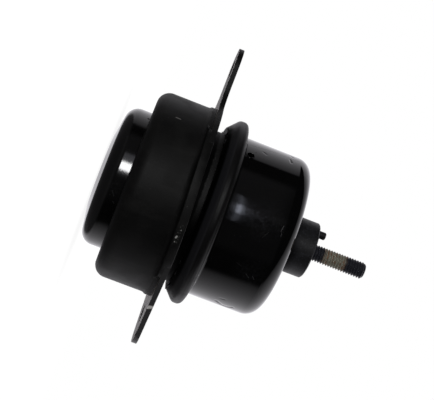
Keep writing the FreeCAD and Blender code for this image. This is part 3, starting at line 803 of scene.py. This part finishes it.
# %% Parting line
LIP_ROUND = 0.0026
parting = Rule("parting_rule", Radius=bumper_high.x - LIP_ROUND, Height=bumper_high.z + 0.00002,
               Thick=0.00016, Waver=0.0003, Waves=40.0, Points=540)
ring = parting.add("GeometryNodeCurvePrimitiveCircle", links={
    "Resolution": parting.value("Points"), "Radius": parting.value("Radius")})
at = parting.add("GeometryNodeInputPosition")
wobble = parting.add("ShaderNodeTexNoise", {"Detail": 1.0}, {
    "Vector": at.outputs[0], "Scale": parting.value("Waves")})
swing = parting.maths("MULTIPLY", parting.maths("SUBTRACT", wobble.outputs[0], 0.5), parting.value("Waver"))
angle = parting.polar()[0]
offset = parting.add("ShaderNodeCombineXYZ", links={
    "X": parting.maths("MULTIPLY", parting.maths("COSINE", angle), swing),
    "Y": parting.maths("MULTIPLY", parting.maths("SINE", angle), swing), "Z": parting.value("Height")})
wavy = parting.add("GeometryNodeSetPosition", links={
    "Geometry": ring.outputs["Curve"], "Offset": offset.outputs[0]})
section = parting.add("GeometryNodeCurvePrimitiveCircle", {"Resolution": 6}, {
    "Radius": parting.value("Thick")})
bead = parting.add("GeometryNodeCurveToMesh", links={
    "Curve": wavy.outputs[0], "Profile Curve": section.outputs["Curve"]})
parting.run("bumper_parting_line", bead.outputs[0], bumper_rubber)

# %% [markdown]
# ## The plate set slightly askew
# On the photographed mount the plate isn't quite square to the axis. The side with the broad ear is
# squeezed about a millimetre and a half towards the can and the other side a little towards the cup, and
# the jacket's foot goes with it. The lean is steep across the middle and dies out along the ears, as a
# pressed plate gives most where the squeeze is.

# %% The lean
LEAN_MM = 1.25
LEAN_SHIFT_MM = 0.30
LEAN_LENGTH = 0.022
EAR_RELIEF_MM = 0.40
RELIEF_FROM = 0.036
RELIEF_SPAN = 0.024


def lean(y):
    """How far the plate stands off its true height at this place across it, in metres."""
    relief = min(max((y - RELIEF_FROM) / RELIEF_SPAN, 0.0), 1.0)
    return (LEAN_SHIFT_MM - LEAN_MM * math.tanh(y / LEAN_LENGTH) + EAR_RELIEF_MM * relief) / 1000


print("lean at the two ears, in mm:", round(lean(plate_low.y) * 1000, 2), round(lean(plate_high.y) * 1000, 2))

# %% [markdown]
# The solids stay true, so copies of the plate and the jacket take this small lean and stand for them.
# Cuts across the plate give the copy points to bend at. The plate sinks by a hair under the jacket's
# skin, so that the two never share a face. Beside the ears the jacket's foot is trimmed back, because
# there the photograph shows bare plate right up to the jacket. Flat faces are shaded flat last, since
# finding the sharp edges clears that flag.


# %% Plate and jacket with the lean
TRIM_DEPTH = 0.0032
TRIM_FROM_Y = 0.042
RAMP = 0.001
JACKET_RAMP_FROM = 0.034
CUT_STEP = 0.003
SINK = 0.00004


def askew_copy(node_name, name, material, from_z, to_z, cuts=(), ear_r=None, sink=0.0, flat_from=2.0):
    """Copy of a solid whose part above from_z leans, in full from to_z up.

    ear_r trims it beside the ears, and faces turned up or down by more than flat_from are shaded flat.
    """
    form = bmesh.new()
    form.from_mesh(nodes[node_name].data)
    bmesh.ops.remove_doubles(form, verts=form.verts, dist=1e-6)
    for y in cuts:
        everything = form.verts[:] + form.edges[:] + form.faces[:]
        bmesh.ops.bisect_plane(form, geom=everything, dist=1e-7, plane_co=(0, y, 0), plane_no=(0, 1, 0))
    for vertex in form.verts:
        far = vertex.co.xy.length
        beside_ear = vertex.co.z > to_z - TRIM_DEPTH and abs(vertex.co.y) > TRIM_FROM_Y
        if ear_r and beside_ear and far > ear_r:
            vertex.co.x *= ear_r / far
            vertex.co.y *= ear_r / far
        share = min(max((vertex.co.z - from_z) / (to_z - from_z), 0.0), 1.0)
        vertex.co.z += (lean(vertex.co.y) - sink) * share
    bmesh.ops.recalc_face_normals(form, faces=form.faces)
    mesh = bpy.data.meshes.new(name)
    form.to_mesh(mesh)
    form.free()
    mesh.materials.append(material)
    mesh.set_sharp_from_angle(angle=math.radians(30))
    mesh.polygons.foreach_set("use_smooth", [abs(face.normal.z) < flat_from for face in mesh.polygons])
    piece = bpy.data.objects.new(name, mesh)
    scene.collection.objects.link(piece)
    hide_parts(node_name)
    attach(piece, "root")
    print(name, "faces:", len(mesh.polygons))
    return piece


full_z = plate_low.z - RAMP
cuts = [plate_low.y + CUT_STEP * i for i in range(1, int((plate_high.y - plate_low.y) / CUT_STEP))]
askew_copy("flange_plate", "askew_plate", plate_coat, full_z - RAMP, full_z, cuts, sink=SINK,
           flat_from=0.9)
askew_copy("rubber_jacket", "leaning_jacket", jacket_rubber, JACKET_RAMP_FROM, full_z,
           ear_r=JACKET_R + 0.0008, flat_from=0.9975)

# %% [markdown]
# ## The bend at the can's foot
# The can's wall is drawn out of its rim over a die with a round edge, so the two meet in a small bend.
# The bend turns through every direction between outwards and upwards, and somewhere in it the paint
# always catches the tent. That is the thin light line along the top of the bumper. It is a turned ring
# with a quarter-round face.

# %% Rim bend
BEND_R = 0.0013
RIM_T = 0.0016
OVERLAP = 0.0001
BEND_STEPS = 8


def turned(name, outline, material, count=160):
    """Closed ring about Z from (radius, height) points."""
    form = bmesh.new()
    loops = []
    for i in range(count):
        turn = 2 * math.pi * i / count
        loops.append([form.verts.new((r * math.cos(turn), r * math.sin(turn), h)) for r, h in outline])
    for i in range(count):
        for k in range(len(outline)):
            j, m = (i + 1) % count, (k + 1) % len(outline)
            form.faces.new((loops[i][k], loops[j][k], loops[j][m], loops[i][m])).smooth = True
    bmesh.ops.recalc_face_normals(form, faces=form.faces)
    mesh = bpy.data.meshes.new(name)
    form.to_mesh(mesh)
    form.free()
    mesh.materials.append(material)
    mesh.set_sharp_from_angle(angle=math.radians(40))
    piece = bpy.data.objects.new(name, mesh)
    scene.collection.objects.link(piece)
    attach(piece, "root")
    print(name, "faces:", len(mesh.polygons))
    return piece


rim_top = can_low.z + RIM_T
bend = [(CAN_R - OVERLAP, rim_top - OVERLAP)]
for i in range(BEND_STEPS + 1):
    turn = math.pi / 2 * i / BEND_STEPS
    bend.append((CAN_R + BEND_R * (1 - math.cos(turn)), rim_top + BEND_R * (1 - math.sin(turn))))
turned("rim_bend", bend, can_paint)

# %% [markdown]
# ## The vent hole's rolled edge
# The hole low in the can's wall is punched before painting, and the paint rounds its edge. A thin ring
# lies half in the paint round the hole and gives the light crescent that the photograph shows on its far
# side.

# %% Vent edge
VENT_R = 0.00225
VENT_Z = can_low.z + 0.00595
VENT_TURN = math.radians(129.0)
VENT_ROLL = 0.0003


def on_can(turn, z, radius=CAN_R):
    return Vector((radius * math.cos(turn), radius * math.sin(turn), z))


def vent_edge(thick, around_count=40, section_count=8):
    form = bmesh.new()
    loops = []
    for i in range(around_count):
        a = 2 * math.pi * i / around_count
        loop = []
        for k in range(section_count):
            b = 2 * math.pi * k / section_count
            out = VENT_R + thick * math.cos(b)
            turn = VENT_TURN + out * math.cos(a) / CAN_R
            loop.append(form.verts.new(on_can(turn, VENT_Z + out * math.sin(a), CAN_R + thick * math.sin(b))))
        loops.append(loop)
    for i in range(around_count):
        for k in range(section_count):
            j, m = (i + 1) % around_count, (k + 1) % section_count
            form.faces.new((loops[i][k], loops[j][k], loops[j][m], loops[i][m])).smooth = True
    bmesh.ops.recalc_face_normals(form, faces=form.faces)
    mesh = bpy.data.meshes.new("vent_edge")
    form.to_mesh(mesh)
    form.free()
    mesh.materials.append(can_paint)
    piece = bpy.data.objects.new("vent_edge", mesh)
    scene.collection.objects.link(piece)
    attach(piece, "root")
    return piece


print("vent edge faces:", len(vent_edge(VENT_ROLL).data.polygons))

# %% [markdown]
# ## The tent round the mount
# Gloss black paint shows nothing but its surroundings, so the surroundings matter more than the lamps. A
# white tent stands behind the mount, and its edge runs a little further round on one side. The camera's
# side is dark but for a faint pale panel beside the camera. Below the mount the tent ends too, with only a
# faint sheen off the table, and so the cup's foot stays dark right up to its outline.


# %% Tent
def tent_light(tree, direction):
    """Brightness of the tent in this direction, as the paint sees it."""
    split = node(tree, "ShaderNodeSeparateXYZ", links={0: direction})
    x, y, z = split.outputs["X"], split.outputs["Y"], split.outputs["Z"]
    above = maths(tree, "MAXIMUM", z, 0.0)
    below = maths(tree, "MINIMUM", z, 0.0)
    tilt = maths(tree, "MULTIPLY", above, maths(tree, "MULTIPLY_ADD", y, -0.65, 0.25))
    edge = maths(tree, "ADD", maths(tree, "MULTIPLY_ADD", y, -0.10, x), tilt)
    sides = maths(tree, "MULTIPLY_ADD", maths(tree, "MULTIPLY", y, y), -0.32, 0.56)
    edge = maths(tree, "ADD", maths(tree, "ADD", maths(tree, "MULTIPLY", below, sides), edge), -0.055)
    table = maths(tree, "MINIMUM", maths(tree, "ADD", z, 0.32), 0.0)
    edge = maths(tree, "MULTIPLY_ADD", table, 6.0, edge)
    soft_start = maths(tree, "MULTIPLY_ADD", maths(tree, "MINIMUM", y, 0.0), 0.16, -0.05)
    inside = band(tree, edge, soft_start, 0.02)
    gap_side = band(tree, maths(tree, "MULTIPLY_ADD", x, -0.016, z), 0.150, 0.158)
    gap_top = band(tree, maths(tree, "MULTIPLY_ADD", z, 0.90, x), 0.78, 0.86, 1.0, 0.0)
    gap = maths(tree, "MULTIPLY", maths(tree, "MULTIPLY", gap_side, gap_top), band(tree, y, 0.50, 0.60))
    inside = maths(tree, "MULTIPLY", inside, maths(tree, "SUBTRACT", 1.0, gap))
    glow = maths(tree, "MINIMUM", maths(tree, "MULTIPLY_ADD", edge, 1.05, 0.26), 1.2)
    panel = maths(tree, "MULTIPLY", between(tree, y, 0.30, 2.0, 0.08), band(tree, x, -0.34, -0.14, 1.0, 0.0))
    panel = maths(tree, "MULTIPLY", panel, between(tree, z, -0.45, 0.156, 0.01))
    middle = maths(tree, "MULTIPLY", between(tree, y, -0.60, 0.45, 0.10), between(tree, z, -0.6, 0.30, 0.1))
    front = maths(tree, "MULTIPLY_ADD", panel, 0.075, maths(tree, "MULTIPLY_ADD", middle, 0.030, 0.006))
    front = maths(tree, "ADD", front, band(tree, z, -0.45, -0.20, 0.09, 0.0))
    outside = maths(tree, "MULTIPLY", maths(tree, "SUBTRACT", 1.0, inside), front)
    return maths(tree, "MULTIPLY_ADD", inside, glow, outside)


tent_nodes = nodes_in(lambda tree: tent_light(tree, node(tree, "ShaderNodeTexCoord").outputs["Object"]))
print("nodes in the tent:", tent_nodes)

# %% [markdown]
# Paint and rubber look at the tent in different ways. A mirror-like reflection needs the tent's true
# shape, and a matte surface only needs a soft light that is a little stronger on the long ear's side. The
# kind of ray tells the two apart, and the camera itself sees a white backdrop.

# %% World
world = bpy.data.worlds.new("tent")
scene.world = world
world.use_nodes = True
tree = world.node_tree
tree.nodes.clear()
direction = node(tree, "ShaderNodeTexCoord").outputs["Generated"]
side_y = node(tree, "ShaderNodeSeparateXYZ", links={0: direction}).outputs["Y"]
path = node(tree, "ShaderNodeLightPath")
mirror_light = node(tree, "ShaderNodeBackground", {"Color": (0.97, 0.955, 1.0, 1.0)},
                    {"Strength": tent_light(tree, direction)})
soft_light = node(tree, "ShaderNodeBackground", {"Color": (1.0, 1.0, 1.0, 1.0)},
                  {"Strength": band(tree, side_y, -0.6, 0.8, 0.24, 0.50)})
white_sky = node(tree, "ShaderNodeBackground", {"Color": (1.0, 1.0, 1.0, 1.0), "Strength": 1.0})
lit = node(tree, "ShaderNodeMixShader", links={
    0: path.outputs["Is Glossy Ray"], 1: soft_light.outputs[0], 2: mirror_light.outputs[0]})
seen = maths(tree, "MAXIMUM", path.outputs["Is Camera Ray"], path.outputs["Is Transmission Ray"])
sky = node(tree, "ShaderNodeMixShader", links={0: seen, 1: lit.outputs[0], 2: white_sky.outputs[0]})
node(tree, "ShaderNodeOutputWorld", links={"Surface": sky.outputs[0]})
print("nodes in the world:", len(tree.nodes))

# %% [markdown]
# ## Floor
# The floor is pale and plain. To the camera it shows nearly white, and its own shading adds the rest, so
# it is white everywhere but in the mount's shadow. The photographed mount lay in the tent with nothing
# but tent under it, so the paint's reflection looks through the floor at the tent below.


# %% Floor
FLOOR_R = 3.0
WHITE_SHARE = 0.90


def pale_floor():
    material, tree = new_material("pale_floor")
    path = node(tree, "ShaderNodeLightPath")
    shaded = node(tree, "ShaderNodeBsdfDiffuse", {"Color": (0.50, 0.50, 0.50, 1.0)})
    shown = maths(tree, "MULTIPLY", maths(tree, "MAXIMUM", path.outputs["Is Camera Ray"],
                                          path.outputs["Is Transmission Ray"]), WHITE_SHARE)
    white = node(tree, "ShaderNodeEmission", {"Color": (1.0, 1.0, 1.0, 1.0)}, {"Strength": shown})
    seen = node(tree, "ShaderNodeAddShader", links={0: shaded.outputs[0], 1: white.outputs[0]})
    node(tree, "ShaderNodeOutputMaterial", links={"Surface": seen.outputs[0]})
    return material


form = bmesh.new()
bmesh.ops.create_circle(form, cap_ends=True, segments=64, radius=FLOOR_R)
floor_mesh = bpy.data.meshes.new("floor")
form.to_mesh(floor_mesh)
form.free()
floor_mesh.materials.append(pale_floor())
floor = bpy.data.objects.new("floor", floor_mesh)
floor.location.z = -0.00002
scene.collection.objects.link(floor)
floor.visible_glossy = False
floor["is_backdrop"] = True
print("floor radius in m:", FLOOR_R)

# %% [markdown]
# ## Lamps
# Two lamps show in the paint. A tall soft box stands near the floor beside the camera and gives the
# square highlight on the cup. A small bluish lamp higher up gives the spot on the can.


# %% Lamps
def around(degrees, distance, z):
    """A point at this distance from the axis, turned from the camera's side towards the long ear."""
    turn = math.radians(degrees)
    return Vector((-distance * math.cos(turn), distance * math.sin(turn), z))


def area_lamp(name, place, aim, width, height, watts, colour, shape="RECTANGLE"):
    """Lamp at place that faces aim, with its width along Z."""
    data = bpy.data.lights.new(name, "AREA")
    data.shape = shape
    data.size = width
    data.size_y = height
    data.energy = watts
    data.color = colour
    lamp = bpy.data.objects.new(name, data)
    scene.collection.objects.link(lamp)
    back = (place - aim).normalized()
    side = Vector((0, 0, 1))
    side = (side - back * back.dot(side)).normalized()
    facing = Matrix((side, back.cross(side), back)).transposed().to_4x4()
    lamp.matrix_world = Matrix.Translation(place) @ facing
    return lamp


LAMP_REACH = 0.75
GLOW_REACH = 0.76
WHITE = (1.0, 1.0, 1.0)
MOUNT_MIDDLE = Vector((0, 0, 0.02))
SPOT_AIM = Vector((0, 0, 0.08))
PALE_BLUE = (0.80, 0.85, 1.0)
lamps = [
    area_lamp("soft_box_core", around(19.0, LAMP_REACH, 0.010), MOUNT_MIDDLE, 0.070, 0.17, 1.4, WHITE),
    area_lamp("soft_box_glow", around(24.0, GLOW_REACH, 0.010), MOUNT_MIDDLE, 0.068, 0.42, 0.10,
              (0.9, 0.9, 1.0)),
    area_lamp("spot_core", around(18.0, LAMP_REACH, 0.1530), SPOT_AIM, 0.004, 0.17, 0.015, PALE_BLUE,
              "ELLIPSE"),
    area_lamp("spot_glow", around(18.5, GLOW_REACH, 0.1550), SPOT_AIM, 0.008, 0.50, 0.015, PALE_BLUE,
              "ELLIPSE"),
]
print("lamps:", len(lamps))

# %% [markdown]
# ## Close the scene
# The box of the dressed mount, less the box of the solids, is printed in millimetres.

# %% Sizes and finish
low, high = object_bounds()
over = [round(value * 1000, 3) for value in tuple(high - cad_high) + tuple(low - cad_low)]
print("visual less cad, in mm:", over)
